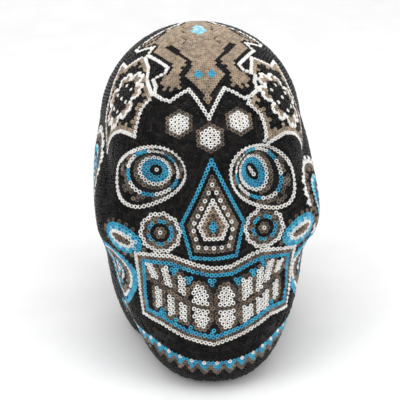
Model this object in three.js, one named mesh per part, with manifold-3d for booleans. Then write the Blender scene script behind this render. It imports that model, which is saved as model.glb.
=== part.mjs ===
import * as THREE from "three";
import { mergeVertices } from "three/addons/utils/BufferGeometryUtils.js";
import Module from "manifold-3d";

// A Wixarika (Huichol) beaded skull: a hollow pulp form in two halves, a thin wax coat,
// and fields of seed beads pressed into the wax. Millimetres, Z up, the face towards -Y.

const wasm = await Module();
wasm.setup();

// Layers, measured along lines from the skull's inner centre.
const BEAD_DEPTH = 1.3; // how deep the bead fields stand above the wax
const GAP = 0.3; // clearance between any two touching pieces
const WAX_DEPTH = 0.9;
const WALL = 3.2; // moulded pulp
const TAPE_DEPTH = 0.8;
const TAPE_WIDTH = 16;
const BASE_DEPTH = 2.4; // card plate that closes the underside
const MOUTH_OF_FORM = { y: -4, across: 20, along: 30, tall: 14 }; // the opening under the form
const TAPE_START = 18;
const BEADS_START = 1.5; // height of the lowest bead row above the table
const WAX_START = 0.8;
const ROW = 2.1; // one row of beads

// The directions at which every layer is measured: rings round the nose, sparser at the back.
const COLUMNS = 28;
const RINGS = [8, 15, 22, 29, 36, 44, 52, 62, 74, 89, 105, 121, 138, 155, 169];
const INNER_COLUMNS = 16;
const INNER_RINGS = [20, 40, 60, 80, 104, 128, 154];
const CENTRE = new THREE.Vector3(0, -2, 76);

// The skull's masses. Each is an ellipsoid blended softly into those before it.
const MASSES = [
  { name: "cranium", at: [0, 10, 107], size: [47.5, 66, 44], blend: 0 },
  { name: "forehead", at: [0, -28, 104], size: [42, 37, 36], blend: 14 },
  { name: "occiput", at: [0, 32, 90], size: [47, 39, 47], blend: 14 },
  { name: "cheekbone", at: [33, -36, 75], size: [16, 19, 17], blend: 16 },
  { name: "arch", at: [45, 0, 71], size: [8.5, 30, 24], blend: 16 },
  { name: "midface", at: [0, -32, 64], size: [38, 32, 28], blend: 16 },
  { name: "muzzle", at: [0, -30, 38], size: [41, 41, 28], blend: 16 },
  { name: "jaw", at: [0, -34, 18], size: [32, 37, 25], blend: 14 },
  { name: "jaw_corner", at: [29.5, 4, 32], size: [14.5, 28, 38], blend: 14 },
  { name: "neck", at: [0, 16, 34], size: [46, 44, 42], blend: 14 },
  { name: "nose_bridge", at: [0, -54, 82], size: [11, 12, 26], blend: 10 },
];
const SOCKET = { at: [27, -64, 103.5], size: [18, 15, 17], turn: 27, blend: 4 };

const PAINT = {
  card: { color: 0xa58a63, roughness: 0.9 },
  pulp: { color: 0xb9ad97, roughness: 0.95 },
  tape: { color: 0xcfc6b0, roughness: 0.9 },
  wax: { color: 0x2a211a, roughness: 0.55 },
  black: { color: 0x0b0b0d, roughness: 0.2 },
  white: { color: 0xeceae6, roughness: 0.22 },
  blue: { color: 0x2f9fca, roughness: 0.22 },
  brown: { color: 0x5d4a3c, roughness: 0.25 },
  tan: { color: 0xb0967c, roughness: 0.25 },
};

// Distance to an ellipsoid, close enough for blending.
function massDistance(p, at, size) {
  const scaled = new THREE.Vector3(
    (p.x - at[0]) / size[0],
    (p.y - at[1]) / size[1],
    (p.z - at[2]) / size[2],
  );
  const slope = new THREE.Vector3(scaled.x / size[0], scaled.y / size[1], scaled.z / size[2]);
  const reach = scaled.length();
  return (reach * (reach - 1)) / Math.max(slope.length(), 1e-9);
}

function softMin(a, b, blend) {
  const mix = THREE.MathUtils.clamp(0.5 + (0.5 * (b - a)) / blend, 0, 1);
  return b + (a - b) * mix - blend * mix * (1 - mix);
}

function socketDistance(p) {
  const angle = THREE.MathUtils.degToRad(SOCKET.turn);
  const across = p.x - SOCKET.at[0];
  const into = p.y - SOCKET.at[1];
  const turned = new THREE.Vector3(
    across * Math.cos(angle) + into * Math.sin(angle),
    into * Math.cos(angle) - across * Math.sin(angle),
    p.z - SOCKET.at[2],
  );
  return massDistance(turned, [0, 0, 0], SOCKET.size);
}

// Signed distance to the skull's outside; the skull is the same on both sides.
function skullDistance(point) {
  const p = new THREE.Vector3(Math.abs(point.x), point.y, point.z);
  const solid = MASSES.reduce((far, mass) => {
    const near = massDistance(p, mass.at, mass.size);
    return mass.blend ? softMin(far, near, mass.blend) : near;
  }, 0);
  return -softMin(-solid, socketDistance(p), SOCKET.blend);
}

// Where the line from the centre leaves the skull.
function skullRadius(direction) {
  const at = (t) => skullDistance(CENTRE.clone().addScaledVector(direction, t));
  let near = 25;
  while (at(near + 1) < 0) {
    near += 1;
  }
  let far = near + 1;
  for (let i = 0; i < 18; i += 1) {
    const middle = (near + far) / 2;
    if (at(middle) < 0) near = middle;
    else far = middle;
  }
  return near;
}

// A unit vector: degrees away from straight ahead, then degrees round the nose.
function lineOfSight(away, round) {
  const a = THREE.MathUtils.degToRad(away);
  const r = THREE.MathUtils.degToRad(round);
  return new THREE.Vector3(Math.sin(a) * Math.cos(r), -Math.cos(a), Math.sin(a) * Math.sin(r));
}

function solidOf(geometry) {
  geometry.deleteAttribute("normal");
  geometry.deleteAttribute("uv");
  const merged = mergeVertices(geometry, 1e-4);
  return new wasm.Manifold(
    new wasm.Mesh({
      numProp: 3,
      vertProperties: new Float32Array(merged.attributes.position.array),
      triVerts: new Uint32Array(merged.index.array),
    }),
  );
}

// A closed surface over rings of lines of sight, with a point at the nose and one at the back.
function surfaceFrom(rings, columns, radiusOf) {
  const pointAt = (away, round) => {
    const line = lineOfSight(away, round);
    return CENTRE.clone().addScaledVector(line, radiusOf(line)).toArray();
  };
  const points = [pointAt(0, 0)];
  for (const away of rings) {
    for (let c = 0; c < columns; c += 1) {
      points.push(pointAt(away, (360 * c) / columns));
    }
  }
  points.push(pointAt(180, 0));
  const faces = [];
  const last = points.length - 1;
  for (let c = 0; c < columns; c += 1) {
    const next = (c + 1) % columns;
    const onLeft = Math.cos((2 * Math.PI * (c + 0.5)) / columns) > 0; // so both sides match
    faces.push(0, 1 + c, 1 + next);
    for (let r = 0; r + 1 < rings.length; r += 1) {
      const near = 1 + r * columns;
      const far = near + columns;
      if (onLeft) {
        faces.push(near + c, far + c, far + next, near + c, far + next, near + next);
      } else {
        faces.push(near + c, far + c, near + next, near + next, far + c, far + next);
      }
    }
    const rim = 1 + (rings.length - 1) * columns;
    faces.push(rim + c, last, rim + next);
  }
  const geometry = new THREE.BufferGeometry();
  geometry.setAttribute("position", new THREE.Float32BufferAttribute(points.flat(), 3));
  geometry.setIndex(faces);
  return solidOf(geometry);
}

const measured = new Map();
function outsideRadius(line) {
  const key = line.toArray().map((v) => v.toFixed(6)).join();
  if (!measured.has(key)) measured.set(key, skullRadius(line));
  return measured.get(key);
}

function layerSurface(depth) {
  return surfaceFrom(RINGS, COLUMNS, (line) => outsideRadius(line) - depth);
}

// The pulp's inside keeps its wall behind the eye sockets, so it takes the least radius nearby.
function insideRadius(line, depth) {
  const spread = 0.16;
  let least = outsideRadius(line);
  for (const offset of [-spread, spread]) {
    for (const axis of ["x", "y", "z"]) {
      const near = line.clone();
      near[axis] += offset;
      least = Math.min(least, outsideRadius(near.normalize()));
    }
  }
  return least - depth;
}

function innerSurface(depth) {
  return surfaceFrom(INNER_RINGS, INNER_COLUMNS, (line) => insideRadius(line, depth));
}

function block(low, high) {
  const size = high.map((v, i) => v - low[i]);
  const box = new THREE.BoxGeometry(size[0], size[1], size[2]);
  box.translate((low[0] + high[0]) / 2, (low[1] + high[1]) / 2, (low[2] + high[2]) / 2);
  return solidOf(box);
}

const REACH = 200; // longer than the skull in every direction
const above = (z) => block([-REACH, -REACH, z], [REACH, REACH, REACH]);
const inFrontOf = (y) => block([-REACH, -REACH, -REACH], [REACH, y, REACH]);
const behind = (y) => block([-REACH, y, -REACH], [REACH, REACH, REACH]);

const beadUnderside = BEAD_DEPTH;
const waxTop = beadUnderside + GAP;
const waxUnderside = waxTop + WAX_DEPTH;
const pulpTop = waxUnderside + GAP;
const pulpInside = pulpTop + WALL;

const skull = new THREE.Group();

function addPiece(name, solid, paint) {
  const mesh = solid.getMesh();
  const geometry = new THREE.BufferGeometry();
  geometry.setAttribute("position", new THREE.BufferAttribute(mesh.vertProperties, 3));
  geometry.setIndex(new THREE.BufferAttribute(mesh.triVerts, 1));
  geometry.computeVertexNormals();
  const material = new THREE.MeshStandardMaterial({ ...paint, metalness: 0 });
  const piece = new THREE.Mesh(geometry, material);
  piece.name = name;
  skull.add(piece);
}

// --- The pulp form: a face half and a back half, taped inside, on a card plate ---

// The opening under the form, from just below the table up into the hollow.
function underOpening(clearance, low, high) {
  const { y, across, along } = MOUTH_OF_FORM;
  const disc = new THREE.CylinderGeometry(1, 1, high - low, 36);
  disc.rotateX(Math.PI / 2);
  disc.scale(across - clearance, along - clearance, 1);
  disc.translate(0, y, (low + high) / 2);
  return solidOf(disc);
}

function addForm() {
  const hollow = innerSurface(pulpInside);
  const opening = underOpening(0, -1, MOUTH_OF_FORM.tall);
  const form = layerSurface(pulpTop).subtract(hollow).subtract(opening).intersect(above(0));
  addPiece("form_face_half", form.intersect(inFrontOf(-GAP / 2)), PAINT.pulp);
  addPiece("form_back_half", form.intersect(behind(GAP / 2)), PAINT.pulp);

  const tapeOutside = innerSurface(pulpInside + GAP);
  const tapeInside = innerSurface(pulpInside + GAP + TAPE_DEPTH);
  const tape = tapeOutside
    .subtract(tapeInside)
    .intersect(behind(-TAPE_WIDTH / 2))
    .intersect(inFrontOf(TAPE_WIDTH / 2))
    .intersect(above(TAPE_START));
  addPiece("seam_tape", tape, PAINT.tape);
  addPiece("base_plate", underOpening(GAP, 0, BASE_DEPTH), PAINT.card);
}

function addWax() {
  const wax = layerSurface(waxTop).subtract(layerSurface(waxUnderside));
  addPiece("wax_coat", wax.intersect(above(WAX_START)), PAINT.wax);
}

// --- Outlines for the bead fields, drawn flat and pressed through the bead layer ---

function circle(radius, corners = 14) {
  const outline = [];
  for (let i = 0; i < corners; i += 1) {
    const angle = (2 * Math.PI * i) / corners;
    outline.push([radius * Math.cos(angle), radius * Math.sin(angle)]);
  }
  return outline;
}

function oval(across, tall, corners = 14) {
  return circle(1, corners).map(([x, y]) => [x * across, y * tall]);
}

// Petals: the radius swings between the tip and the valley once for each petal.
function flower(tip, valley, petals) {
  const outline = [];
  for (let i = 0; i < petals * 2; i += 1) {
    const angle = (Math.PI * i) / petals;
    const radius = i % 2 ? valley : tip;
    outline.push([radius * Math.cos(angle), radius * Math.sin(angle)]);
  }
  return outline;
}

// The outline moved inwards (or outwards when negative) by a distance, corners kept sharp.
function inset(outline, by) {
  const count = outline.length;
  return outline.map(([x, y], i) => {
    const before = outline[(i + count - 1) % count];
    const after = outline[(i + 1) % count];
    const arriving = new THREE.Vector2(x - before[0], y - before[1]).normalize();
    const leaving = new THREE.Vector2(after[0] - x, after[1] - y).normalize();
    const turn = new THREE.Vector2(-arriving.y - leaving.y, arriving.x + leaving.x);
    const share = 2 / Math.max(turn.lengthSq(), 0.2);
    return [x + turn.x * share * by, y + turn.y * share * by];
  });
}

const mirrored = (outline) => outline.map(([x, y]) => [-x, y]).reverse();

// A flat drawing plane on the skull, facing out. The point is found from an aim: degrees to the
// skull's left (+X) and degrees up from the centre.
function planeAt(aimSide, aimUp) {
  const side = THREE.MathUtils.degToRad(aimSide);
  const up = THREE.MathUtils.degToRad(aimUp);
  const line = new THREE.Vector3(
    Math.sin(side) * Math.cos(up),
    -Math.cos(side) * Math.cos(up),
    Math.sin(up),
  );
  const point = CENTRE.clone().addScaledVector(line, outsideRadius(line));
  const step = 1;
  const slope = (x, y, z) => {
    const ahead = skullDistance(new THREE.Vector3(point.x + x, point.y + y, point.z + z));
    const back = skullDistance(new THREE.Vector3(point.x - x, point.y - y, point.z - z));
    return ahead - back;
  };
  const out = new THREE.Vector3(slope(step, 0, 0), slope(0, step, 0), slope(0, 0, step));
  return facing(point, out);
}

// The plane's Y runs up the face and on towards the back of the crown.
function facing(point, out) {
  out.normalize();
  const upright = new THREE.Vector3(0, 0.5, 1);
  upright.addScaledVector(out, -upright.dot(out)).normalize();
  const right = upright.clone().cross(out);
  return new THREE.Matrix4().makeBasis(right, upright, out).setPosition(point);
}

// A plane given for the +X side, or its mirror image on the other side.
function sidePlane(sign, [x, y, z], [outX, outY, outZ]) {
  return facing(new THREE.Vector3(sign * x, y, z), new THREE.Vector3(sign * outX, outY, outZ));
}

function pressed(plane, outline, depth) {
  const shape = new THREE.Shape(outline.map(([x, y]) => new THREE.Vector2(x, y)));
  const geometry = new THREE.ExtrudeGeometry(shape, { depth: 2 * depth, bevelEnabled: false });
  geometry.translate(0, 0, -depth);
  geometry.applyMatrix4(plane);
  return solidOf(geometry);
}

const beads = layerSurface(0).subtract(layerSurface(beadUnderside)).intersect(above(BEADS_START));
let background = beads; // what is left for the black ground beads

// Nested fields: each band runs from its own outline in to the next one; the last is filled.
// A field keeps off the fields laid before it.
function addFields(plane, bands, depth = 16) {
  const free = background;
  background = free.subtract(pressed(plane, inset(bands[0].outline, -GAP / 2), depth));
  bands.forEach((band, i) => {
    let field = free.intersect(pressed(plane, inset(band.outline, GAP / 2), depth));
    if (i + 1 < bands.length) {
      field = field.subtract(pressed(plane, inset(bands[i + 1].outline, -GAP / 2), depth));
    }
    for (const hole of band.holes ?? []) {
      field = field.subtract(pressed(plane, inset(hole, -GAP / 2), depth));
    }
    addPiece(band.name, largest(field), PAINT[band.paint]);
  });
}

// The main body of a field, without the crumbs that two crossing outlines can leave.
function largest(solid) {
  return solid.decompose().reduce((best, body) => (body.volume() > best.volume() ? body : best));
}

const SIDES = [
  { mark: "right", sign: -1 },
  { mark: "left", sign: 1 },
];

// The eyes: rows of beads run round the rim and down into each socket. The rows are ovals that
// lean outwards, and their middles move from the rim's middle to the pupil's.
const EYES = [
  { mark: "right", sign: -1, rim: [4.4, 0.6], pupil: [-2, 5] },
  { mark: "left", sign: 1, rim: [0.5, -2], pupil: [-6.2, 0.8] },
];
const RIM = { across: 19.5, tall: 13.4, lean: 16 };

// An eye row at a share of the way from the pupil (0) to the rim (1).
function eyeRow({ sign, rim, pupil }, share) {
  const lean = THREE.MathUtils.degToRad(RIM.lean);
  const outline = oval(RIM.across * share, RIM.tall * share).map(([x, y]) => [
    x * Math.cos(lean) + y * Math.sin(lean) + pupil[0] + (rim[0] - pupil[0]) * share,
    y * Math.cos(lean) - x * Math.sin(lean) + pupil[1] + (rim[1] - pupil[1]) * share,
  ]);
  return sign < 0 ? mirrored(outline) : outline;
}

function addEyes() {
  const angle = THREE.MathUtils.degToRad(SOCKET.turn);
  for (const eye of EYES) {
    const out = [Math.sin(angle), -Math.cos(angle), 0];
    const plane = sidePlane(eye.sign, [25.6, -60, SOCKET.at[2]], out);
    const rim = eyeRow(eye, 1);
    addFields(plane, [
      { name: `eye_rim_${eye.mark}`, outline: rim, paint: "white" },
      { name: `eye_socket_band_${eye.mark}`, outline: inset(rim, ROW), paint: "black" },
      { name: `eye_dashed_ring_${eye.mark}`, outline: eyeRow(eye, 0.68), paint: "blue" },
      { name: `eye_iris_${eye.mark}`, outline: eyeRow(eye, 0.5), paint: "brown" },
      { name: `eye_pupil_${eye.mark}`, outline: eyeRow(eye, 0.14), paint: "white" },
    ]);
  }
}

function addNose() {
  const outline = [[0, -20.8], [10.2, -20.4], [14, -5], [0, 25.4], [-14, -5], [-10.2, -20.4]];
  const drop = [[0, -9.5], [7.4, -4.5], [0, 9.5], [-7.4, -4.5]];
  const plane = facing(new THREE.Vector3(0, -66, 88), new THREE.Vector3(0, -1, 0.1));
  addFields(plane, [
    { name: "nose_outline", outline, paint: "blue" },
    { name: "nose_panel", outline: inset(outline, ROW), paint: "brown" },
    { name: "nose_drop_outline", outline: drop, paint: "white" },
    { name: "nose_drop", outline: inset(drop, ROW), paint: "tan" },
  ]);
}

function addForeheadDots() {
  const dot = circle(6.2, 6);
  addFields(planeAt(0, 38), [{ name: "forehead_dot_middle", outline: dot, paint: "white" }]);
  for (const { mark, sign } of SIDES) {
    const plane = planeAt(sign * 14, 43.5);
    addFields(plane, [{ name: `forehead_dot_${mark}`, outline: dot, paint: "white" }]);
  }
}

// The lizard lies over the crown with its head down the forehead and its tail to the back.
function addLizard() {
  const half = [
    [0, -27.5], [8.4, -11], [19, -15], [24, -4], [20, 4], [16.5, 8], [24, 22],
    [22, 34], [10, 40], [6.5, 56], [0, 74],
  ];
  const outline = [...half, ...mirrored(half.slice(1, -1))];
  const crest = [[0, 36], [2.6, 40], [0, 44], [-2.6, 40]];
  const plane = facing(new THREE.Vector3(0, -32, 143.5), new THREE.Vector3(0, -0.42, 0.91));
  addFields(
    plane,
    [
      { name: "lizard_outline", outline, paint: "white" },
      { name: "lizard_body", outline: inset(outline, ROW), paint: "tan", holes: [crest] },
    ],
    30,
  );
  const gem = beads.intersect(pressed(plane, inset(crest, GAP / 2), 30));
  addPiece("lizard_crest_diamond", gem, PAINT.blue);
}

// The temple star, its points on the +X side: first the low point nearest the brow.
const STAR = [
  [-20.4, -20.4], [-8.6, -17.3], [0.2, -17.4], [14, -21], [20, -4], [18, 5], [21, 24],
  [12, 19.5], [2, 25], [-8.5, 16.3], [-14.5, 8], [-24, -1], [-20.8, -8],
];
const TEMPLES = [
  { mark: "right", sign: -1, middle: [4.6, 1] },
  { mark: "left", sign: 1, middle: [-4.5, -3.5] },
];

function moved(outline, [across, up]) {
  return outline.map(([x, y]) => [x + across, y + up]);
}

function addTempleFlowers() {
  for (const { mark, sign, middle } of TEMPLES) {
    const own = (outline) => (sign < 0 ? mirrored(outline) : outline);
    addFields(
      sidePlane(sign, [36.1, -23.3, 129.5], [0.77, -0.18, 0.62]),
      [
        { name: `temple_flower_edge_${mark}`, outline: own(moved(STAR, middle)), paint: "white" },
        { name: `temple_flower_${mark}`, outline: own(moved(circle(14.6), middle)), paint: "black" },
      ],
      24,
    );
  }
}

function addFaceFlowers() {
  for (const { mark, sign } of SIDES) {
    const own = (outline) => (sign < 0 ? mirrored(outline) : outline);
    addFields(planeAt(sign * 22.5, 1.5), [
      { name: `cheek_flower_${mark}`, outline: flower(8.7, 8, 9), paint: "brown" },
    ]);
    const bone = own(moved(oval(9, 6.6), [1.5, -1.2]));
    addFields(sidePlane(sign, [40.4, -53.2, 74.6], [0.6, -0.8, 0.05]), [
      { name: `cheekbone_flower_${mark}`, outline: bone, paint: "blue" },
    ]);
    const nest = own(moved(oval(19.5, 14.6), [-8, 3]));
    addFields(sidePlane(sign, [44, -27, 42], [0.98, -0.2, -0.05]), [
      { name: `jaw_oval_${mark}`, outline: nest, paint: "blue" },
    ]);
  }
  addFields(planeAt(180, 12), [
    { name: "back_flower_edge", outline: flower(24, 20, 8), paint: "white" },
    { name: "back_flower", outline: flower(15, 12, 8), paint: "blue" },
  ]);
}

// The teeth stand in a panel wrapped round the muzzle. Each one is a lozenge of white beads.
function tooth(x, z, width, height, lean) {
  const corners = [
    [-0.5, -0.25], [-0.22, -0.5], [0.22, -0.5], [0.5, -0.25],
    [0.5, 0.25], [0.22, 0.5], [-0.22, 0.5], [-0.5, 0.25],
  ];
  return corners.map(([u, v]) => [x + u * width + v * height * lean, z + v * height]);
}

function addMouth() {
  const border = [
    [0, 26.8], [12.5, 30.7], [25.5, 35.6], [34.3, 34.6], [36.3, 46.4], [38.2, 64.4], [22.2, 67.1],
    [11, 64], [0, 62.6], [-9, 64.1], [-18.9, 66.8], [-35, 66.4], [-33.8, 47.3], [-32.7, 36.1],
    [-24.2, 34.4], [-13.9, 29.8],
  ];
  // centre across, height of the bite line, width and the upper tooth's lean, for each column
  const columns = [
    [-25.3, 52.7, 4.6, -0.3], [-19.6, 50.2, 4.6, -0.2], [-14.7, 47.5, 4.8, 0],
    [-6.9, 44.9, 7.8, 0], [5.1, 43.8, 7.8, 0], [14.7, 45.1, 5.8, 0], [19.9, 47.4, 4.2, 0.05],
    [24.1, 50.3, 3.8, 0.2], [28.7, 53, 4.2, 0.18],
  ];
  const height = 8.4;
  const teeth = [];
  columns.forEach(([x, bite, width, lean], i) => {
    const rise = (height + GAP) / 2;
    const upper = tooth(x + rise * lean, bite + rise, width, height, lean);
    const lower = tooth(x, bite - rise, width, height, 0);
    teeth.push([`tooth_upper_${i + 1}`, upper], [`tooth_lower_${i + 1}`, lower]);
  });
  const plane = facing(new THREE.Vector3(0, -60, 0), new THREE.Vector3(0, -1, 0.0001));
  const holes = teeth.map(([, outline]) => outline);
  addFields(
    plane,
    [
      { name: "mouth_border", outline: border, paint: "white" },
      { name: "gum_panel", outline: inset(border, 2 * ROW), paint: "blue", holes },
    ],
    45,
  );
  for (const [name, outline] of teeth) {
    addPiece(name, beads.intersect(pressed(plane, inset(outline, GAP / 2), 45)), PAINT.white);
  }
}

// The band that edges the jaw: below a slope that rises from the chin to the jaw's corners.
function addJawEdge() {
  const slope = [[-95, -10], [-24, -10], [-24, 25], [-56, 23], [-72, 16.5], [-95, 8]];
  const side = new THREE.Matrix4().makeBasis(
    new THREE.Vector3(0, 1, 0),
    new THREE.Vector3(0, 0, 1),
    new THREE.Vector3(1, 0, 0),
  );
  addFields(side, [{ name: "jaw_edge_band", outline: slope, paint: "blue" }], 60);
}

// What the motifs leave is the black ground, in a face part and a back part.
function addGround() {
  addPiece("ground_face", largest(background.intersect(inFrontOf(-GAP / 2))), PAINT.black);
  addPiece("ground_back", largest(background.intersect(behind(GAP / 2))), PAINT.black);
}

addForm();
addWax();
addEyes();
addNose();
addForeheadDots();
addLizard();
addTempleFlowers();
addMouth();
addFaceFlowers();
addJawEdge();
addGround();

// The origin is under the middle of the skull, on the table.
const bounds = new THREE.Box3().setFromObject(skull);
const middle = bounds.getCenter(new THREE.Vector3());
skull.position.set(-middle.x, -middle.y, 0);

export default skull;
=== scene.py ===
"""A Wixarika (Huichol) beaded skull: a hollow paper-pulp form in two halves, a thin coat of
dark wax and resin, and seed beads pressed into the wax one by one, hole outwards, in motif
fields. Every bead here is its own ring of glass. The face looks towards -Y. Lengths in mm
until a mesh is made, when they become metres."""

import math

import bpy
import numpy as np
from mathutils import Matrix, Vector


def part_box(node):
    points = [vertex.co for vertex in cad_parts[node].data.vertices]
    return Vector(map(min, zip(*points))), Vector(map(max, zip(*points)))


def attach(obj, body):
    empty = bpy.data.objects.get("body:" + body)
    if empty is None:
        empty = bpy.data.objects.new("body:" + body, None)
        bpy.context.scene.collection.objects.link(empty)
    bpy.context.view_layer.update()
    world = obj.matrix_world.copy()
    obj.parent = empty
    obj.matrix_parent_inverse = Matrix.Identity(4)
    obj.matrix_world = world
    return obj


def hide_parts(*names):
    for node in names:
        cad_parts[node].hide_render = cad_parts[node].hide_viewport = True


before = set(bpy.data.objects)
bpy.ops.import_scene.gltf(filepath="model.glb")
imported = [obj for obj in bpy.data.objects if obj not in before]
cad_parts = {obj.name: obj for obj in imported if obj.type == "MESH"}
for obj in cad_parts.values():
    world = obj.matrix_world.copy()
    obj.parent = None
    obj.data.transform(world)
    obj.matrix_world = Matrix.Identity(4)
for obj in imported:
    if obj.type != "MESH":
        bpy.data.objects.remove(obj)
scene = bpy.context.scene
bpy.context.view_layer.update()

# ---------------------------------------------------------------------------------------
# Pulp form: two halves of layered paper pulp, pressed in a mould, joined with pasted paper
# tape inside and closed below with a card plate that the skull stands on.

MM = 0.001
CENTRE = np.array([0.0, -2.0, 76.0])  # inner centre of the skull
PLATE_Y = -4.0  # the card plate's own middle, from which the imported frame's shift is read
plate_low, plate_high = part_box("base_plate")
SHIFT = np.array([0.0, (plate_low.y + plate_high.y) / 2 / MM - PLATE_Y, 0.0])

MASSES = [  # middle, half sizes, softness of the join to the masses before it
    ((0, 10, 107), (47.5, 66, 44), 0),  # cranium
    ((0, -28, 104), (42, 37, 36), 14),  # forehead
    ((0, 32, 90), (47, 39, 47), 14),  # back of the head
    ((33, -36, 75), (16, 19, 17), 16),  # cheekbone
    ((45, 0, 71), (8.5, 30, 24), 16),  # cheek arch
    ((0, -32, 64), (38, 32, 28), 16),  # middle of the face
    ((0, -30, 38), (41, 41, 28), 16),  # muzzle
    ((0, -34, 18), (32, 37, 25), 14),  # jaw
    ((29.5, 4, 32), (14.5, 28, 38), 14),  # corner of the jaw
    ((0, 16, 34), (46, 44, 42), 14),  # nape
    ((0, -54, 82), (11, 12, 26), 10),  # bridge of the nose
]
SOCKET_AT = np.array([27.0, -64.0, 103.5])
SOCKET_SIZE = np.array([18.0, 15.0, 17.0])
SOCKET_TURN = math.radians(27)
SOCKET_SOFT = 4.0


def unit(v):
    v = np.asarray(v, float)
    return v / np.maximum(np.linalg.norm(v, axis=-1, keepdims=True), 1e-12)


def mass_distance(p, size):
    q = p / size
    reach = np.linalg.norm(q, axis=-1)
    slope = np.linalg.norm(q / size, axis=-1)
    return reach * (reach - 1) / np.maximum(slope, 1e-9)


def soft_min(a, b, soft):
    mix = np.clip(0.5 + 0.5 * (b - a) / soft, 0, 1)
    return b + (a - b) * mix - soft * mix * (1 - mix)


def skull_distance(points):
    """How far each point is outside the skull's bead tops (negative inside)."""
    p = np.stack([np.abs(points[..., 0]), points[..., 1], points[..., 2]], -1)
    far = None
    for middle, size, soft in MASSES:
        near = mass_distance(p - np.array(middle, float), np.array(size, float))
        far = near if far is None else soft_min(far, near, soft)
    d = p - SOCKET_AT
    cos, sin = math.cos(SOCKET_TURN), math.sin(SOCKET_TURN)
    x, y, z = d[..., 0], d[..., 1], d[..., 2]
    turned = np.stack([x * cos + y * sin, y * cos - x * sin, z], -1)
    return -soft_min(-far, mass_distance(turned, SOCKET_SIZE), SOCKET_SOFT)


def outward(points, step=0.4):
    slopes = []
    for axis in np.eye(3):
        slopes.append(skull_distance(points + axis * step) - skull_distance(points - axis * step))
    return unit(np.stack(slopes, -1))


def along(lines):
    """The bead tops' distance from the centre along each unit line."""
    near = np.full(lines.shape[:-1], 25.0)
    for _ in range(90):
        inside = skull_distance(CENTRE + lines * (near + 1)[..., None]) < 0
        near = np.where(inside, near + 1, near)
        if not inside.any():
            break
    far = near + 1
    for _ in range(14):
        middle = (near + far) / 2
        inside = skull_distance(CENTRE + lines * middle[..., None]) < 0
        near, far = np.where(inside, middle, near), np.where(inside, far, middle)
    return near


def lines_at(angles, heads):
    """Unit lines by their angle from the crown and their heading round the vertical."""
    across = np.sin(angles)
    return np.stack([across * np.sin(heads), -across * np.cos(heads), np.cos(angles)], -1)


def skin(depth, floor, rounds, rows=72):
    """Points of a surface under the bead tops, from the crown down to the height floor, one
    meridian for each angle round the vertical."""
    heads = np.radians(rounds)[:, None]
    low = np.full(heads.shape, math.pi)
    tall = np.zeros(heads.shape)
    for _ in range(26):  # the angle from the crown at which each meridian meets the floor
        mid = (low + tall) / 2
        lines = lines_at(mid, heads)
        heights = (CENTRE + lines * (along(lines) - depth)[..., None])[..., 2]
        above = heights > floor
        tall, low = np.where(above, mid, tall), np.where(above, low, mid)
    angles = low * (np.linspace(0.0, 1.0, rows) ** 0.92)[None, :]
    lines = lines_at(angles, np.broadcast_to(heads, angles.shape))
    points = CENTRE + lines * (along(lines) - depth)[..., None]
    points[..., 2] = np.maximum(points[..., 2], floor)
    return points


def add_mesh(name, points, faces, materials, smooth=True, picks=None):
    mesh = bpy.data.meshes.new(name)
    mesh.vertices.add(len(points))
    mesh.vertices.foreach_set("co", ((np.asarray(points) + SHIFT) * MM).astype(np.float32).ravel())
    if isinstance(faces, list):
        counts = np.array([len(f) for f in faces], np.int32)
        corners = np.concatenate([np.asarray(f, np.int32) for f in faces])
    else:
        counts = np.full(len(faces), faces.shape[1], np.int32)
        corners = faces.astype(np.int32).ravel()
    mesh.loops.add(len(corners))
    mesh.loops.foreach_set("vertex_index", corners)
    mesh.polygons.add(len(counts))
    starts = np.concatenate([[0], np.cumsum(counts)[:-1]])
    mesh.polygons.foreach_set("loop_start", starts.astype(np.int32))
    mesh.polygons.foreach_set("use_smooth", np.full(len(counts), smooth))
    for material in materials:
        mesh.materials.append(material)
    if picks is not None:
        mesh.polygons.foreach_set("material_index", picks.astype(np.int32))
    mesh.update(calc_edges=True)
    mesh.validate()
    piece = bpy.data.objects.new(name, mesh)
    scene.collection.objects.link(piece)
    return piece


def shell(name, out_depth, in_depth, floor, start, end, columns, material):
    """A closed wall between two skins; a full turn, or a part of one with flat seam walls."""
    full = end - start >= 360
    rounds = np.linspace(start, end, columns + (0 if full else 1), endpoint=not full)
    outer, inner = skin(out_depth, floor, rounds), skin(in_depth, floor, rounds)
    many, rows = outer.shape[:2]
    low = rows - 1
    points = np.concatenate([outer.reshape(-1, 3), inner.reshape(-1, 3)])
    at = lambda layer, c, r: layer * many * rows + (c % many) * rows + r
    faces = []
    for c in range(many if full else many - 1):
        for r in range(low):
            faces.append((at(0, c, r), at(0, c, r + 1), at(0, c + 1, r + 1), at(0, c + 1, r)))
            faces.append((at(1, c, r), at(1, c + 1, r), at(1, c + 1, r + 1), at(1, c, r + 1)))
        faces.append((at(0, c, low), at(1, c, low), at(1, c + 1, low), at(0, c + 1, low)))
    if not full:
        last = many - 1
        for r in range(low):
            faces.append((at(0, 0, r), at(1, 0, r), at(1, 0, r + 1), at(0, 0, r + 1)))
            faces.append((at(0, last, r), at(0, last, r + 1), at(1, last, r + 1), at(1, last, r)))
    return add_mesh(name, points, np.array(faces), [material])


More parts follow.
